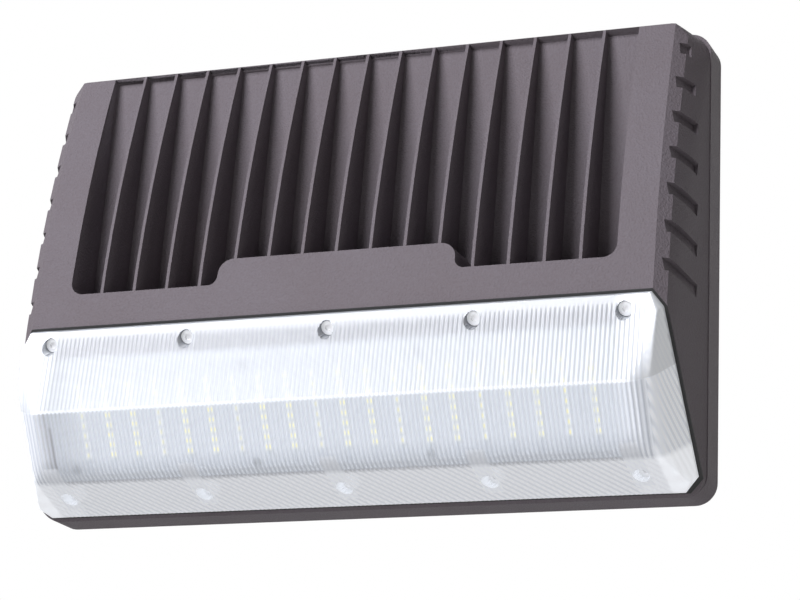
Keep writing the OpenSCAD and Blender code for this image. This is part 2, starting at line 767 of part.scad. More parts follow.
module board_screws() color("gainsboro") on_rim() for (k = screw_xs_share)
  for (m = [-1, 1]) translate([k * board_hw, board_mid + m * (board_l / 2 - small_in), led_z + slice])
    screw(small_r - play / 2, board_t + plate_t / 2, small_head_r, small_head_h);

// Screws that hold the ears of the carrier tray to the slanted frame
module carrier_screws() color("gainsboro") on_rim() for (x = [-1, 1])
  translate([x * carrier_x, board_mid, plate_t + 2 * slice])
    screw(small_r - play / 2, plate_t + flange_t / 2, small_head_r, small_head_h);

term_w = 10;
term_l = 8;
term_t = 5;
term_in = 14;
term_x = -board_hw + term_in;
module board_terminal() color("white") on_rim()
  translate([term_x - term_w / 2, board_mid - term_l / 2, plate_z - term_t - slice]) difference() {
    cube([term_w, term_l, term_t]);
    for (x = [term_w / 4, 3 * term_w / 4])
      translate([x, term_l / 4, -cut]) cylinder(r = small_r, h = term_t / 2 + cut);
  }

door_clip_d = door_back + clip_h - play;
door_clip_gap = 2.7;
door_clip_x = -door_hw + door_wall + door_clip_gap;
// Upper end of the terminal block in depth and height
term_s = board_mid + term_l / 2 + play / 2 + lead2_r;
term_y = rim_d0 + term_s * rim_run / rim_len + (plate_z - term_t / 2) * foot_h / rim_len;
term_top = term_s * foot_h / rim_len - (plate_z - term_t / 2) * rim_run / rim_len;
module lead_clip_door() color([0.12, 0.12, 0.12]) from_edge() difference() {
  translate([door_clip_x, -door_clip_d - clip_d, clip_z - clip_h / 2]) cube([clip_w, clip_d, clip_h]);
  translate([-door_hw, -door_clip_d - clip_d / 2, clip_z])
    rotate([0, 90, 0]) cylinder(r = lead2_r + clip_gap, h = box_w / 8);
}

module board_lead() color([0.15, 0.15, 0.15]) from_edge() run([
  [door_clip_x + play + lead2_r, -door_clip_d - clip_d / 2, clip_z],
  [door_clip_x + clip_w + lead_tail, -door_clip_d - clip_d / 2, clip_z],
  [term_x, -term_y, term_top]], lead2_r);

module hinge_lead() color([0.15, 0.15, 0.15]) from_edge() run([
  [clip_x - clip_w / 2 - play - 2 * lead2_r, -lead_clip_d, clip_z],
  [door_clip_x + clip_w / 2, -lead_clip_d, clip_z],
  [door_clip_x + clip_w / 2, -door_clip_d + play + lead2_r, clip_z]], lead2_r);

// Closure

close_head_h = 2;
close_tail = 2;
nut_t = 3;
module closure_screw(x) color("silver") from_edge() translate([x, -box_d - close_d, door_h + slice])
  screw(close_r, door_wall + lug_t + nut_t + 2 * play + close_tail, 2 * close_r, close_head_h);

module closure_screw_middle() closure_screw(close_x1);
module closure_screw_right() closure_screw(close_x2);

module clamp_nuts() color("silver") from_edge() for (x = [close_x1, close_x2])
  translate([x, -box_d - close_d, lug_z - play - nut_t]) difference() {
    cylinder(r = nut_flat, h = nut_t, $fn = 6);
    translate([0, 0, -cut]) cylinder(r = close_r + clip_gap, h = nut_t + 2 * cut);
  }

back_plate();
box_wall();
wall_foam();
rim_gasket();
wire_bushing();
led_driver();
driver_screws();
supply_leads();
wire_nuts();
ground_screw();
output_lead();
lead_clip_box();
hinge_pins();
door_casting();
cooling_fins();
lens_frame();
lens();
lens_gasket();
lens_screws();
carrier_plate();
carrier_screws();
led_board();
leds();
board_screws();
board_terminal();
board_lead();
lead_clip_door();
hinge_lead();
closure_screw_middle();
closure_screw_right();
clamp_nuts();
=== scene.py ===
"""Looks of the wall pack light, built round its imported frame."""

from __future__ import annotations

import json
import logging
import math
from dataclasses import dataclass, field
from enum import Enum
from typing import Any

import bmesh
import bpy
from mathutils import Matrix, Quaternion, Vector

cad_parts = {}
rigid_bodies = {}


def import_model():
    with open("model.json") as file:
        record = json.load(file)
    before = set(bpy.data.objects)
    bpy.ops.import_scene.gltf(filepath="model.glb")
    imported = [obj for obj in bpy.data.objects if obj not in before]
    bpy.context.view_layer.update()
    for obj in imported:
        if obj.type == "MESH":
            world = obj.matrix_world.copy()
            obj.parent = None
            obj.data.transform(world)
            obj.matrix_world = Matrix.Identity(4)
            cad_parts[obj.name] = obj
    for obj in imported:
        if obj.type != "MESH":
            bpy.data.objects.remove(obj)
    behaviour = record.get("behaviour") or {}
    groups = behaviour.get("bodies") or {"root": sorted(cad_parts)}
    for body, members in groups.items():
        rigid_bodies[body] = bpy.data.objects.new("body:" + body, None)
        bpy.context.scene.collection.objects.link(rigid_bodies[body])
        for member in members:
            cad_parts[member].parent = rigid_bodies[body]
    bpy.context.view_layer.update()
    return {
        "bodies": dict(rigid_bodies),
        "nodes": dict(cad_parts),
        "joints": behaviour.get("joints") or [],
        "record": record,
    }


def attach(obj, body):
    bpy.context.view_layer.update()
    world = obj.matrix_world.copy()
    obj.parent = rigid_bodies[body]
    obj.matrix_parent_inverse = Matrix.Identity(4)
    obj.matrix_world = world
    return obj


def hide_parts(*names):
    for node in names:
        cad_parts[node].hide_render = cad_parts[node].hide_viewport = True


LOG = logging.getLogger("wall_pack")
MM = 0.001
TURN = 2 * math.pi
BOX_H = 240.0
Color = tuple[float, float, float]
BLACK: Color = (0.0, 0.0, 0.0)
WHITE: Color = (1.0, 1.0, 1.0)
Number = "float | Sock"


class Body(Enum):
    """Rigid body that a new piece rides on."""

    DOOR = "door"


class Grain(Enum):
    """Stretch of the grain of a procedural finish."""

    PEEL = (1.0, 1.0, 1.0)
    ACROSS = (0.04, 1.0, 1.0)
    PLAIN = (0.6, 0.6, 0.6)


@dataclass(frozen=True)
class Finish:
    """A surface finish: two colours, gloss, metal share, grain and bump."""

    name: str
    low: Color
    high: Color
    roughness: float
    metallic: float = 0.0
    coat: float = 0.0
    grain: Grain = Grain.PLAIN
    scale: float = 900.0
    bump: float = 0.1
    spread: float = 0.06
    specular: float = 0.5


class Sock:
    """A shader socket that can be used in arithmetic."""

    def __init__(self, graph: Graph, socket: bpy.types.NodeSocket) -> None:
        """Keeps the socket and its graph.

        Args:
            graph: the graph that the socket belongs to.
            socket: the node output.
        """
        self.graph = graph
        self.socket = socket

    def _op(self, kind: str, *others: Number, flip: bool = False) -> Sock:
        """Returns the result of a Math node of that kind.

        Args:
            kind: the operation of the Math node.
            others: the other operands, sockets or numbers.
            flip: whether the operands change places.

        Returns:
            The node's output.
        """
        terms = [self, *others]
        if flip:
            terms.reverse()
        return self.graph.node("ShaderNodeMath", dict(enumerate(terms)), operation=kind)

    def __add__(self, other: Number) -> Sock:
        """Returns the sum."""
        return self._op("ADD", other)

    __radd__ = __add__

    def __mul__(self, other: Number) -> Sock:
        """Returns the product."""
        return self._op("MULTIPLY", other)

    def __sub__(self, other: Number) -> Sock:
        """Returns the difference."""
        return self._op("SUBTRACT", other)

    def __rsub__(self, other: Number) -> Sock:
        """Returns the difference, with this value taken off the other."""
        return self._op("SUBTRACT", other, flip=True)

    def __truediv__(self, other: Number) -> Sock:
        """Returns the quotient."""
        return self._op("DIVIDE", other)

    def sin(self) -> Sock:
        """Returns the sine."""
        return self._op("SINE")

    def abs(self) -> Sock:
        """Returns the absolute value."""
        return self._op("ABSOLUTE")

    def wrap(self, low: float, high: float) -> Sock:
        """Returns the value wrapped into a range.

        Args:
            low: the lower end.
            high: the upper end.

        Returns:
            The wrapped value.
        """
        return self._op("WRAP", high, low)

    def clip(self) -> Sock:
        """Returns the value held between 0 and 1."""
        return self.graph.node("ShaderNodeClamp", {"Value": self})

    def above(self, limit: float, soft: float) -> Sock:
        """Returns 0 under the limit and 1 over it, with a soft step.

        Args:
            limit: the value in the middle of the step.
            soft: the width of the step.

        Returns:
            The step.
        """
        return ((self - (limit - soft / 2)) / soft).clip()

    def near(self, middle: float, reach: float) -> Sock:
        """Returns 1 at a value, falling to 0 at a distance from it.

        Args:
            middle: the value.
            reach: the distance.

        Returns:
            The share.
        """
        return (1 - (self - middle).abs() / reach).clip()


class Graph:
    """Node tree of one material."""

    def __init__(self, name: str) -> None:
        """Makes an empty material.

        Args:
            name: the material's name.
        """
        self.material = bpy.data.materials.new(name)
        self.material.use_nodes = True
        self.tree = self.material.node_tree
        self.tree.nodes.clear()
        self.output = self.tree.nodes.new("ShaderNodeOutputMaterial")

    def node(self, kind: str, inputs: dict | None = None, out: int | str = 0, **props: Any) -> Sock:
        """Adds a node.

        Args:
            kind: the node's type.
            inputs: values or sockets by input name or number.
            out: the name or number of the output that is wanted.
            props: properties of the node.

        Returns:
            The output.
        """
        made = self.tree.nodes.new(kind)
        for key, value in props.items():
            setattr(made, key, value)
        for key, value in (inputs or {}).items():
            if isinstance(value, Sock):
                self.tree.links.new(value.socket, made.inputs[key])
            else:
                made.inputs[key].default_value = value
        return Sock(self, made.outputs[out])

    def mix(self, share: Number, low: Color | Sock, high: Color | Sock) -> Sock:
        """Returns a colour mixed between two colours.

        Args:
            share: the share of the second colour.
            low: the first colour.
            high: the second colour.

        Returns:
            The colour.
        """
        low, high = (c if isinstance(c, Sock) else rgba(c) for c in (low, high))
        return self.node("ShaderNodeMix", {0: share, 6: low, 7: high}, out=2, data_type="RGBA")

    def place(self) -> tuple[Sock, list[Sock]]:
        """Returns the Object coordinates and their X, Y and Z in millimetres."""
        spot = self.node("ShaderNodeTexCoord", out="Object")
        parts = [self.node("ShaderNodeSeparateXYZ", {0: spot}, out=i) / MM for i in range(3)]
        return spot, parts

    def noise(self, spot: Sock, scale: float, grain: Color = (1, 1, 1), detail: float = 3.0) -> Sock:
        """Returns a noise value.

        Args:
            spot: coordinates.
            scale: cells per metre.
            grain: stretch of the coordinates.
            detail: octaves.

        Returns:
            The value.
        """
        at = self.node("ShaderNodeMapping", {"Vector": spot, "Scale": grain})
        return self.node("ShaderNodeTexNoise", {"Vector": at, "Scale": scale, "Detail": detail})

    def close(self, shader: Sock) -> bpy.types.Material:
        """Links the shader to the output and returns the material."""
        self.tree.links.new(shader.socket, self.output.inputs[0])
        return self.material


def rgba(color: Color) -> tuple[float, float, float, float]:
    """Returns a colour of three numbers with an alpha of 1."""
    return (*color, 1.0)


def finish_material(finish: Finish) -> bpy.types.Material:
    """Makes the procedural material of a finish.

    Args:
        finish: the finish.

    Returns:
        The material.
    """
    g = Graph(finish.name)
    spot, _ = g.place()
    grain = g.noise(spot, finish.scale, finish.grain.value)
    cloud = g.noise(spot, 14.0)
    normal = g.node("ShaderNodeBump", {"Height": grain, "Strength": finish.bump, "Distance": 0.0006})
    share = (grain * 0.6 + cloud * 0.4).above(0.5, 0.5)
    rough = finish.roughness + (grain - 0.5) * finish.spread * 2
    return g.close(
        g.node(
            "ShaderNodeBsdfPrincipled",
            {
                "Base Color": g.mix(share, finish.low, finish.high),
                "Roughness": rough.clip(),
                "Metallic": finish.metallic,
                "Coat Weight": finish.coat,
                "Specular IOR Level": finish.specular,
                "Normal": normal,
            },
        )
    )


@dataclass(frozen=True)
class Rim:
    """The slanted rim that the lens sits on."""

    depth: float = 20.7
    foot_d: float = 72.0
    foot_h: float = 90.5

    @property
    def length(self) -> float:
        """Length of the slant."""
        return math.hypot(self.foot_d - self.depth, self.foot_h)

    @property
    def along(self) -> Vector:
        """Direction up the slant."""
        return Vector((0, self.depth - self.foot_d, self.foot_h)) / self.length

    @property
    def out(self) -> Vector:
        """Direction out of the rim."""
        return Vector((0, -self.foot_h, self.depth - self.foot_d)) / self.length

    def point(self, x: float, s: float, h: float) -> Vector:
        """Returns a point in metres, from millimetres across, along and out of the rim."""
        foot = Vector((x, -self.depth, -BOX_H / 2))
        return (foot + self.along * s + self.out * h) * MM

    def local(self, spot: Vector) -> tuple[float, float, float]:
        """Returns the millimetres across, along and out of the rim of a point in metres."""
        way = spot / MM - Vector((0, -self.depth, -BOX_H / 2))
        return way.x, way.dot(self.along), way.dot(self.out)

    def fields(self, y: Sock, z: Sock) -> tuple[Sock, Sock]:
        """Returns the distances along and out of the rim as shader sockets.

        Args:
            y: Y in millimetres.
            z: Z in millimetres.

        Returns:
            The distance along the slant and the distance out of it.
        """
        down, rise = y + self.depth, z + BOX_H / 2
        along = down * self.along.y + rise * self.along.z
        return along, down * self.out.y + rise * self.out.z


@dataclass(frozen=True)
class Reeding:
    """Places of the lens's zones and patterns, in millimetres.

    A name that ends in x is across, one in s along the rim and one in h out of it.
    """

    rib_pitch: float = 2.35
    hatch_pitch: float = 3.0
    slope_pitch: float = 3.4
    crease_s: float = 67.0
    flank_s: float = 27.5
    band_s: float = 31.0
    strip_s: float = 99.3
    side_x: float = 164.5
    edge_x: float = 167.5
    ends_x: float = 153.0
    crease_x: float = 158.0
    crease_h: float = 28.5
    board_s: float = 72.0
    tower_pitch: float = 76.5
    tower_half: float = 4.6
    tower_low_s: float = 9.0
    tower_up_s: float = 37.0

    def towers(self, x: Sock, s: Sock) -> Sock:
        """Returns the share of the moulded screw towers seen through the lens.

        Args:
            x: millimetres across.
            s: millimetres along the rim.

        Returns:
            The share.
        """
        half = self.tower_pitch / 2
        across = ((x + half).wrap(0.0, self.tower_pitch) - half).abs()
        along = s.above(self.tower_low_s, 1.0) * (1 - s.above(self.tower_up_s, 1.5))
        return (1 - across.above(self.tower_half, 1.0)) * along


@dataclass(frozen=True)
class LensTones:
    """Colours of the lens, painted shade, highlight and glow among them; a pair is the two ends of a mix.
    """

    face: tuple[Color, Color] = ((0.86, 0.89, 0.94), (0.92, 0.94, 0.97))
    # Painted shade: the upper facet gets darker copies of the face tones.
    upper: tuple[Color, Color] = ((0.70, 0.72, 0.74), (0.68, 0.70, 0.72))
    # Painted shade: a darker tone in stripes along the ribs, paler on the lower flank.
    rib_shade: tuple[Color, Color] = ((0.56, 0.59, 0.65), (0.80, 0.80, 0.83))
    tower: Color = (0.74, 0.76, 0.80)
    # Painted highlight: a near-white tone for the line along the crease.
    crease: Color = (0.94, 0.95, 0.97)
    # Colour of the painted glow that the lens gives off, though it is no lamp.
    glow: Color = (0.96, 0.98, 1.0)
    clear: Color = (0.95, 0.97, 0.99)
    # Painted shade: the upper facet lets less light through.
    shaded_clear: Color = (0.85, 0.87, 0.88)


def lens_material(rim: Rim, zones: Reeding, tones: LensTones) -> bpy.types.Material:
    """Makes the clear reeded plastic of the lens, with painted shade, a painted highlight and a painted
    glow.

    Args:
        rim: the rim that the lens sits on.
        zones: the places of its zones and patterns.
        tones: its colours.

    Returns:
        The material.
    """
    g = Graph("clear_lens")
    spot, (x, y, z) = g.place()
    s, h = rim.fields(y, z)
    wide = x.abs()
    # Painted highlight: a bright line along the crease between the facets.
    crease = s.near(zones.crease_s + 0.2, 1.0) * h.above(zones.crease_h, 1.5)
    crease = crease * (1 - wide.above(zones.crease_x, 3.0))
    upper = s.above(zones.crease_s, 0.6)
    flank = 1 - s.above(zones.flank_s, 3.0)
    band = s.near(zones.band_s, 4.5)
    side = wide.above(zones.side_x, 1.5)
    rim_strip = s.above(zones.strip_s, 1.0)
    towers = zones.towers(x, s)
    ribs = (x * (TURN / zones.rib_pitch)).sin()
    hatch = ((s * 0.7 + x * 0.7) * (TURN / zones.hatch_pitch)).sin()
    slope = ((z * 0.8 + y * 0.6) * (TURN / zones.slope_pitch)).sin()
    plain = (1 - side) * (1 - flank) * (1 - rim_strip)
    wave = ribs * plain * (1 - upper * 0.4) + hatch * flank * 0.7 * (1 - side)
    wave = wave + slope * side * (1 - wide.near(zones.edge_x, 3.5)) * 0.9
    fine = g.noise(spot, 500.0)
    cloud = g.noise(spot, 30.0, detail=2.0)
    height = wave * 0.5 + fine * 0.1
    normal = g.node("ShaderNodeBump", {"Height": height, "Strength": 0.3, "Distance": 0.0004})
    edge = g.node("ShaderNodeLayerWeight", {"Blend": 0.35, "Normal": normal}, out="Facing")
    ends = wide.above(zones.ends_x, 10.0)
    body = 0.32 + edge * 0.15 + wave.above(0.1, 0.8) * (1 - upper) * 0.38 + upper * 0.22 + side * 0.3
    body = body + flank * 0.42 + band * 0.25 + crease * 0.25 + towers * 0.4 + ends * 0.45
    light = g.mix((cloud * 0.5 + 0.3).clip(), *tones.face)
    # Painted shade: the upper facet takes darker copies of the face tones.
    light = g.mix(upper, light, g.mix(s.near(zones.board_s, 26.0), *tones.upper))
    # Painted shade: darker stripes along the ribs, lighter on the lower flank, none on the crease.
    rib_shade = wave.above(0.1, 1.1) * (0.95 - upper * 0.45) * (1 - crease)
    tone = g.mix(rib_shade.clip(), light, g.mix(flank, *tones.rib_shade))
    tone = g.mix(towers * 0.7, tone, tones.tower)
    # Painted glow: the lens gives off light of its own everywhere, more on the lower facet than the upper,
    # and most on the sides and the lower flank.
    glow = side * 0.14 + flank * 0.16 + crease * 0.04 + rim_strip * 0.04
    glow = glow + (1 - upper) * 0.10 + upper * 0.02
    # Base colour: the tone, lifted towards the painted highlight on the crease.
    skin = g.node(
        "ShaderNodeBsdfPrincipled",
        {
            "Base Color": g.mix(crease * 0.7, tone, tones.crease),
            "Roughness": 0.14 + fine * 0.05,
            "Normal": normal,
            "IOR": 1.58,
            "Emission Color": g.mix(glow.clip(), BLACK, tones.glow),
            "Emission Strength": 1.0,
        },
    )
    clear = g.node("ShaderNodeBsdfTransparent", {"Color": rgba(tones.clear)})
    # Painted shade: the upper facet lets less light through than the rest.
    shaded_clear = g.node("ShaderNodeBsdfTransparent", {"Color": rgba(tones.shaded_clear)})
    through = g.node("ShaderNodeMixShader", {0: upper, 1: clear, 2: shaded_clear})
    return g.close(g.node("ShaderNodeMixShader", {0: body.clip(), 1: through, 2: skin}))


@dataclass(frozen=True)
class LedRows:
    """Layout and colours of the LEDs: columns across, rows along the rim, in millimetres."""

    column: float = 14.4
    first_edge: float = -147.0
    middle: float = -3.0
    row: float = 5.19
    board_mid: float = 56.51
    pair_off: float = 0.9
    pair_half: float = 0.4
    single_half: float = 0.55
    dash_half: float = 0.95
    tint: tuple[Color, Color] = ((0.9, 0.9, 0.88), (0.98, 0.86, 0.22))
    # Colours of the painted glow of the packages, grey between the dashes and yellow on them.
    glow: tuple[Color, Color] = ((0.35, 0.35, 0.36), (1.0, 0.92, 0.22))
    board: tuple[Color, Color] = ((0.92, 0.93, 0.95), (0.80, 0.83, 0.87))


def led_material(rim: Rim, rows: LedRows) -> bpy.types.Material:
    """Makes the phosphor of the LEDs, with a painted glow: one dash in every third column, two in the
    others.

    Args:
        rim: the rim that the board lies behind.
        rows: the layout of the LEDs.

    Returns:
        The material.
    """
    g = Graph("phosphor")
    spot, (x, y, z) = g.place()
    s, _ = rim.fields(y, z)
    off = ((x - rows.middle).wrap(0.0, rows.column) - rows.column / 2).abs()
    along = ((s - rows.board_mid).wrap(0.0, rows.row) - rows.row / 2).abs()
    paired = (x - rows.first_edge).wrap(0.0, 3 * rows.column).above(rows.column, 0.1)
    pair = 1 - (off - rows.pair_off).abs().above(rows.pair_half, 0.1)
    one = 1 - off.above(rows.single_half, 0.1)
    share = (pair * paired + one * (1 - paired)) * (1 - along.above(rows.dash_half, 0.15))
    grain = g.noise(spot, 1500.0)
    return g.close(
        g.node(
            "ShaderNodeBsdfPrincipled",
            {
                "Base Color": g.mix(share, *rows.tint),
                "Roughness": 0.3 + grain * 0.1,
                # Painted glow: the LED packages give off light of their own, yellow on the dashes and grey
                # between them.
                "Emission Color": g.mix(share, *rows.glow),
                "Emission Strength": 0.6,
            },
        )
    )


def board_material(rows: LedRows) -> bpy.types.Material:
    """Makes the white board with faint copper areas under the mask.

    Args:
        rows: the layout of the LEDs.

    Returns:
        The material.
    """
    g = Graph("board_white")
    spot, (x, _, _) = g.place()
    track = (x * (TURN / rows.column)).sin().above(0.85, 0.1)
    grain = g.noise(spot, 800.0)
    return g.close(
        g.node(
            "ShaderNodeBsdfPrincipled",
            {
                "Base Color": g.mix(track * 0.5, *rows.board),
                "Roughness": 0.35 + grain * 0.1,
            },
        )
    )


def floor_material() -> bpy.types.Material:
    """Makes the pale floor, whose glow only the camera sees, so that it lights nothing.

    Returns:
        The material.
    """
    g = Graph("floor")
    seen = g.node("ShaderNodeLightPath", out="Is Camera Ray")
    return g.close(
        g.node(
            "ShaderNodeBsdfPrincipled",
            {
                "Base Color": rgba((0.8, 0.8, 0.8)),
                "Roughness": 0.8,
                "Emission Color": g.mix(seen, BLACK, (0.62, 0.62, 0.63)),
                "Emission Strength": 1.0,
            },
        )
    )


@dataclass
class Surface:
    """Finishes of the carried-over nodes, by the record's slot."""

    finishes: tuple[Finish, ...]
    rim: Rim
    zones: Reeding
    rows: LedRows
    made: dict[str, bpy.types.Material] = field(default_factory=dict)

    def build(self, frame: dict) -> None:
        """Gives every CAD node its material.
        """
        self.made = {f.name: finish_material(f) for f in self.finishes}
        self.made["clear_lens"] = lens_material(self.rim, self.zones, LensTones())
        self.made["phosphor"] = led_material(self.rim, self.rows)
        self.made["board_white"] = board_material(self.rows)
        slots = {s["node"]: s["material_slot"] for s in frame["record"]["subparts"]}
        for name, obj in frame["nodes"].items():
            obj.data.materials.clear()
            obj.data.materials.append(self.made[slots[name]])
            LOG.info("finish %s on %s", slots[name], name)


@dataclass
class Castings:
    """Rounded edges of the castings, as modifiers on the CAD nodes."""

    width: float = 0.6
    weld: float = 0.01
    flat: float = 0.6
    sharp: float = 28.0
    face_weight: int = 100
    nodes: tuple[str, ...] = ("back_plate", "box_wall", "door_casting", "cooling_fins", "lens_frame")

    def build(self, frame: dict) -> None:
        """Adds the rounding to each casting.
        """
        for name in self.nodes:
            obj = frame["nodes"][name]
            bpy.context.view_layer.objects.active = obj
            if obj.data.has_custom_normals:
                bpy.ops.mesh.customdata_custom_splitnormals_clear()
            weld = obj.modifiers.new("weld", "WELD")
            weld.merge_threshold = self.weld * MM
            flat = obj.modifiers.new("flat", "DECIMATE")
            flat.decimate_type = "DISSOLVE"
            flat.angle_limit = math.radians(self.flat)
            edge = obj.modifiers.new("edge", "BEVEL")
            edge.width = self.width * MM
            edge.segments = 2
            edge.limit_method = "ANGLE"
            edge.angle_limit = math.radians(self.sharp)
            edge.use_clamp_overlap = True
            edge.harden_normals = True
            for face in obj.data.polygons:
                face.use_smooth = True
            flatten = obj.modifiers.new("flatten", "WEIGHTED_NORMAL")
            flatten.weight = self.face_weight
            LOG.info("rounded edges of %s", name)


@dataclass
class Lens:
    """The reeded lens, a height field over the slanted rim with wells for its screws."""

    rim: Rim
    zones: Reeding
    low: float = 3.3
    up: float = 102.7
    height: float = 31.9
    edge: float = 4.0
    seat: float = 1.05
    crease_low: float = 29.5
    flank_h: float = 27.0
    shoulder_x: float = 168.0
    shoulder_h: float = 24.0
    crease_soft: float = 0.7
    side_soft: float = 2.0
    flank_soft: float = 6.0
    foot_half: float = 179.6
    foot_lean: float = 7.6
    turn_half: float = 172.0
    turn_lean: float = 6.0
    turn_drop: float = 4.5
    inset: float = 1.35
    corner: float = 7.0
    amp: float = 0.15
    ribbed: float = 163.5
    fade_s: float = 3.5
    cols_side: int = 16
    well_r: float = 4.2
    well_snap: float = 0.36
    well_seat: float = 3.45
    hole_r: float = 2.2
    well_cols: int = 2
    well_s: tuple[float, ...] = (16.0, 96.0)
    marks: tuple[float, ...] = (23, 25, 27, 28.5, 29.5, 30.5, 31.5, 32.5, 33.5, 34.5)
    marks_mid: tuple[float, ...] = (36, 40, 44, 48, 52, 56, 60, 63)
    marks_up: tuple[float, ...] = (70, 73, 77, 81, 85, 88)

    @property
    def well_x(self) -> list[float]:
        """Places of the screw wells across, at the towers."""
        return [i * self.zones.tower_pitch for i in range(-self.well_cols, self.well_cols + 1)]

    def half_width(self, s: float) -> float:
        """Returns the half width of the lens edge at a distance along the rim."""
        turn = self.rim.length * (1 - self.turn_drop / (self.rim.foot_d - self.rim.depth))
        if s < turn:
            wide = self.foot_half - self.foot_lean * s / turn
        else:
            wide = self.turn_half - self.turn_lean * (s - turn) / (self.rim.length - turn)
        corner = max(0.0, self.corner - (s - self.low))
        return wide - self.inset - corner

    def lift(self, x: float, s: float) -> float:
        """Returns the height of the outer face over the rim."""
        wide = self.half_width(s)
        reach = max(4.0, wide - self.shoulder_x)
        crease = self.zones.crease_s
        slopes = (
            (self.height, self.up - s, self.up - crease, self.crease_soft),
            (self.flank_h, s - self.low, self.crease_low - self.low, self.flank_soft),
            (self.shoulder_h, wide - abs(x), reach, self.side_soft),
        )
        planes = [(self.edge + (high - self.edge) * far / run, soft) for high, far, run, soft in slopes]
        planes.append((self.shoulder_h + self.shoulder_x - abs(x), self.flank_soft))
        top = self.height
        for plane, soft in planes:
            blend = max(0.0, soft - abs(top - plane)) / soft
            top = min(top, plane) - blend * blend * soft / 4
        return max(self.edge * 0.95, top)

    def across(self) -> tuple[list[float], list[float]]:
        """Returns the places of the ribs in millimetres and the shares of the columns beside them."""
        pitch = self.zones.rib_pitch
        half = int(self.ribbed / (pitch / 4))
        ribs = [i * pitch / 4 for i in range(-half, half + 1)]
        ends = [(i + 1) / self.cols_side for i in range(self.cols_side)]
        return ribs, ends

    def rows(self) -> list[float]:
        """Returns the places of the rows along the rim, closer at the wells and creases."""
        marks = [self.low + i for i in (0, 1, 3, 5, 7)]
        for middle in self.well_s:
            marks += [middle + i * 0.7 for i in range(-8, 9)]
        marks += [*self.marks, *self.marks_mid]
        marks += [self.zones.crease_s + i * 0.4 for i in range(-4, 5)]
        marks += [*self.marks_up, self.up - 1, self.up]
        return sorted(m for m in set(marks) if self.low <= m <= self.up)

    def spot(self, col: int, s: float, ribs: list[float], ends: list[float]) -> Vector:
        """Returns the place of a grid point.

        Args:
            col: its column.
            s: its distance along the rim.
            ribs: the places of the ribs.
            ends: the shares of the columns beside them.

        Returns:
            The point in metres.
        """
        wide = self.half_width(s)
        if col < len(ends):
            x = -(ribs[-1] + (wide - ribs[-1]) * ends[len(ends) - 1 - col])
        elif col >= len(ends) + len(ribs):
            x = ribs[-1] + (wide - ribs[-1]) * ends[col - len(ends) - len(ribs)]
        else:
            x = ribs[col - len(ends)]
        for wx in self.well_x:
            for ws in self.well_s:
                far = math.hypot(x - wx, s - ws)
                if 0 < abs(far - self.well_r) < self.well_snap:
                    x = wx + (x - wx) * self.well_r / far
                    s = ws + (s - ws) * self.well_r / far
        fade = max(0.0, min(1.0, (self.up - self.fade_s - s) / 3.0))
        fade *= max(0.0, min(1.0, (min(self.ribbed, wide) - 1 - abs(x)) / 2.0))
        wave = self.amp * fade * (math.sin(TURN * x / self.zones.rib_pitch) - 1)
        return self.rim.point(x, s, self.lift(x, s) + wave)

    def wells(self, bm: bmesh.types.BMesh) -> None:
        """Opens the screw wells and gives each its wall and seat.

        Args:
            bm: the mesh of the outer face.
        """
        for wx in self.well_x:
            for ws in self.well_s:
                inside = []
                for face in bm.faces:
                    x, s, _ = self.rim.local(face.calc_center_median())
                    if math.hypot(x - wx, s - ws) < self.well_r - 0.1:
                        inside.append(face)
                ring = {e for f in inside for e in f.edges if any(g not in inside for g in e.link_faces)}
                bmesh.ops.delete(bm, geom=inside, context="FACES")
                for radius in (None, self.hole_r):
                    made = bmesh.ops.extrude_edge_only(bm, edges=list(ring))["geom"]
                    ring = {e for e in made if isinstance(e, bmesh.types.BMEdge) and e.is_boundary}
                    for v in {v for e in ring for v in e.verts}:
                        x, s, _ = self.rim.local(v.co)
                        share = 1.0 if radius is None else radius / math.hypot(x - wx, s - ws)
                        v.co = self.rim.point(wx + (x - wx) * share, ws + (s - ws) * share, self.well_seat)

    def build(self, material: bpy.types.Material) -> bpy.types.Object:
        """Builds the lens.

        Args:
            material: the lens material.

        Returns:
            The object.
        """
        ribs, ends = self.across()
        rows = self.rows()
        count = len(ribs) + 2 * len(ends)
        bm = bmesh.new()
        made = bmesh.ops.create_grid(bm, x_segments=count - 1, y_segments=len(rows) - 1, size=1.0)
        for v in made["verts"]:
            col = round((v.co.x + 1) / 2 * (count - 1))
            row = round((v.co.y + 1) / 2 * (len(rows) - 1))
            v.co = self.spot(col, rows[row], ribs, ends)
        fall = bmesh.ops.extrude_edge_only(bm, edges=[e for e in bm.edges if e.is_boundary])
        for v in fall["geom"]:
            if isinstance(v, bmesh.types.BMVert):
                x, s, _ = self.rim.local(v.co)
                v.co = self.rim.point(x, s, self.seat)
        self.wells(bm)
        bmesh.ops.recalc_face_normals(bm, faces=bm.faces)
        mesh = bpy.data.meshes.new("ReededLens")
        bm.to_mesh(mesh)
        bm.free()
        obj = bpy.data.objects.new("ReededLens", mesh)
        bpy.context.collection.objects.link(obj)
        for face in mesh.polygons:
            face.use_smooth = True
        mesh.materials.append(material)
        split = obj.modifiers.new("split", "EDGE_SPLIT")
        split.split_angle = math.radians(50)
        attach(obj, Body.DOOR.value)
        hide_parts("lens")
        LOG.info("reeded lens, %d faces", len(mesh.polygons))
        return obj


@dataclass(frozen=True)
class Lamp:
    """A soft square light that looks at the object: metres and watts."""

    name: str
    spot: Color
    size: float
    power: float
    tint: Color


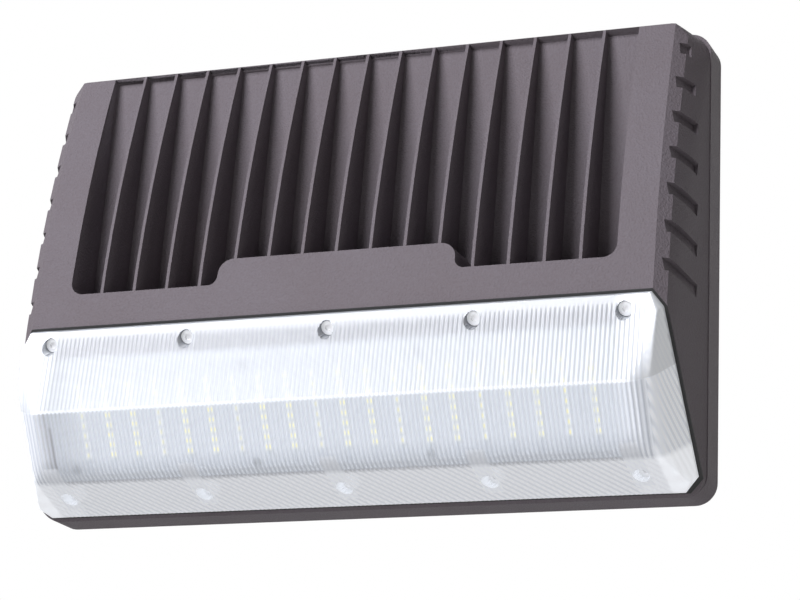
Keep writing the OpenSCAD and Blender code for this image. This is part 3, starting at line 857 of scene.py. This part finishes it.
@dataclass
class Studio:
    """Camera, lights, floor and surround."""

    lamps: tuple[Lamp, ...]
    azimuth: float = 21.31
    elevation: float = -16.46
    roll: float = 2.43
    focal_px: float = 2732.4
    distance: float = 1.4253
    photo_px: float = 800.0
    sensor: float = 36.0
    target: Color = (0.00923, 0.0, -0.00416)
    floor_size: float = 4.0
    floor_z: float = -1.6
    surround: Color = (0.93, 0.95, 1.0)
    surround_power: float = 0.09

    def camera(self) -> None:
        """Adds the camera that matches the photo."""
        az, el = math.radians(self.azimuth), math.radians(self.elevation)
        back = Vector((math.sin(az) * math.cos(el), -math.cos(az) * math.cos(el), math.sin(el)))
        data = bpy.data.cameras.new("Camera")
        data.sensor_width = self.sensor
        data.lens = self.focal_px / self.photo_px * self.sensor
        data.clip_start = 0.05
        cam = bpy.data.objects.new("Camera", data)
        bpy.context.collection.objects.link(cam)
        cam.location = Vector(self.target) + back * self.distance
        cam.rotation_mode = "QUATERNION"
        spin = Quaternion((0, 0, 1), math.radians(self.roll))
        cam.rotation_quaternion = (-back).to_track_quat("-Z", "Y") @ spin
        bpy.context.scene.camera = cam

    def light(self, lamp: Lamp) -> None:
        """Adds one light.

        Args:
            lamp: the light.
        """
        data = bpy.data.lights.new(lamp.name, "AREA")
        data.shape = "SQUARE"
        data.size = lamp.size
        data.energy = lamp.power
        data.color = lamp.tint
        obj = bpy.data.objects.new(lamp.name, data)
        bpy.context.collection.objects.link(obj)
        obj.location = lamp.spot
        obj.rotation_mode = "QUATERNION"
        obj.rotation_quaternion = (-Vector(lamp.spot)).to_track_quat("-Z", "Y")
        LOG.info("light %s", lamp.name)

    def floor(self) -> None:
        """Adds the plain floor."""
        bm = bmesh.new()
        bmesh.ops.create_grid(bm, x_segments=2, y_segments=2, size=self.floor_size)
        mesh = bpy.data.meshes.new("Floor")
        bm.to_mesh(mesh)
        bm.free()
        floor = bpy.data.objects.new("Floor", mesh)
        floor.location = (0, 0, self.floor_z)
        bpy.context.collection.objects.link(floor)
        mesh.materials.append(floor_material())

    def world(self) -> None:
        """Adds the soft surround, white for camera, glossy and transmission rays."""
        world = bpy.data.worlds.new("World")
        world.use_nodes = True
        tree = world.node_tree
        tree.nodes.clear()
        out = tree.nodes.new("ShaderNodeOutputWorld")
        mix = tree.nodes.new("ShaderNodeMixShader")
        soft = tree.nodes.new("ShaderNodeBackground")
        white = tree.nodes.new("ShaderNodeBackground")
        rays = tree.nodes.new("ShaderNodeLightPath")
        soft.inputs[0].default_value = rgba(self.surround)
        soft.inputs[1].default_value = self.surround_power
        white.inputs[0].default_value = rgba(WHITE)
        white.inputs[1].default_value = 1.0
        seen = rays.outputs["Is Camera Ray"]
        for name in ("Is Glossy Ray", "Is Transmission Ray"):
            either = tree.nodes.new("ShaderNodeMath")
            either.operation = "MAXIMUM"
            tree.links.new(seen, either.inputs[0])
            tree.links.new(rays.outputs[name], either.inputs[1])
            seen = either.outputs[0]
        tree.links.new(seen, mix.inputs[0])
        tree.links.new(soft.outputs[0], mix.inputs[1])
        tree.links.new(white.outputs[0], mix.inputs[2])
        tree.links.new(mix.outputs[0], out.inputs[0])
        bpy.context.scene.world = world

    def build(self) -> None:
        """Adds everything that isn't part of the object."""
        self.camera()
        for lamp in self.lamps:
            self.light(lamp)
        self.floor()
        self.world()
        bpy.context.scene.view_settings.view_transform = "Standard"
        LOG.info("studio")


LAMPS = (
    Lamp("Key", (-0.77, -1.76, 1.03), 1.1, 64.0, (0.93, 0.94, 1.0)),
    Lamp("Fill", (0.1, -1.5, -1.1), 1.2, 8.0, WHITE),
    Lamp("Side", (1.75, -0.8, -0.3), 0.8, 3.0, (1.0, 0.97, 0.97)),
)

FINISHES = (
    Finish(
        "bronze_paint",
        (0.138, 0.115, 0.122),
        (0.172, 0.153, 0.169),
        0.5,
        grain=Grain.PEEL,
        scale=950.0,
        bump=0.9,
        specular=0.08,
    ),
    Finish("grey_foam", (0.10, 0.10, 0.105), (0.16, 0.16, 0.165), 0.9, scale=1600.0, bump=0.3),
    Finish("white_silicone", (0.62, 0.61, 0.58), (0.7, 0.69, 0.66), 0.6),
    Finish("black_rubber", (0.012, 0.012, 0.012), (0.022, 0.022, 0.022), 0.7),
    Finish(
        "driver_case",
        (0.52, 0.53, 0.54),
        (0.62, 0.63, 0.64),
        0.38,
        metallic=1.0,
        grain=Grain.ACROSS,
        bump=0.08,
    ),
    Finish("zinc_steel", (0.52, 0.53, 0.55), (0.66, 0.67, 0.68), 0.32, metallic=1.0),
    Finish("lead_jacket", (0.04, 0.04, 0.04), (0.07, 0.07, 0.07), 0.5),
    Finish("nut_plastic", (0.62, 0.24, 0.04), (0.72, 0.3, 0.06), 0.42),
    Finish("green_screw", (0.05, 0.24, 0.08), (0.08, 0.32, 0.11), 0.4, metallic=0.4),
    Finish("black_jacket", (0.02, 0.02, 0.02), (0.035, 0.035, 0.035), 0.5),
    Finish("black_plastic", (0.02, 0.02, 0.02), (0.035, 0.035, 0.035), 0.45),
    Finish("stainless", (0.78, 0.78, 0.79), (0.88, 0.88, 0.88), 0.5, metallic=0.3),
    Finish("white_paint", (0.88, 0.90, 0.93), (0.93, 0.94, 0.96), 0.28, coat=0.2),
    Finish("terminal_plastic", (0.8, 0.8, 0.78), (0.86, 0.86, 0.84), 0.45),
)


def main() -> None:
    """Builds the looks in order."""
    logging.basicConfig(level=logging.INFO, format="%(message)s")
    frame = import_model()
    rim = Rim()
    zones = Reeding()
    surface = Surface(FINISHES, rim, zones, LedRows())
    surface.build(frame)
    Castings().build(frame)
    Lens(rim, zones).build(surface.made["clear_lens"])
    Studio(LAMPS).build()


if __name__ == "__main__":
    main()
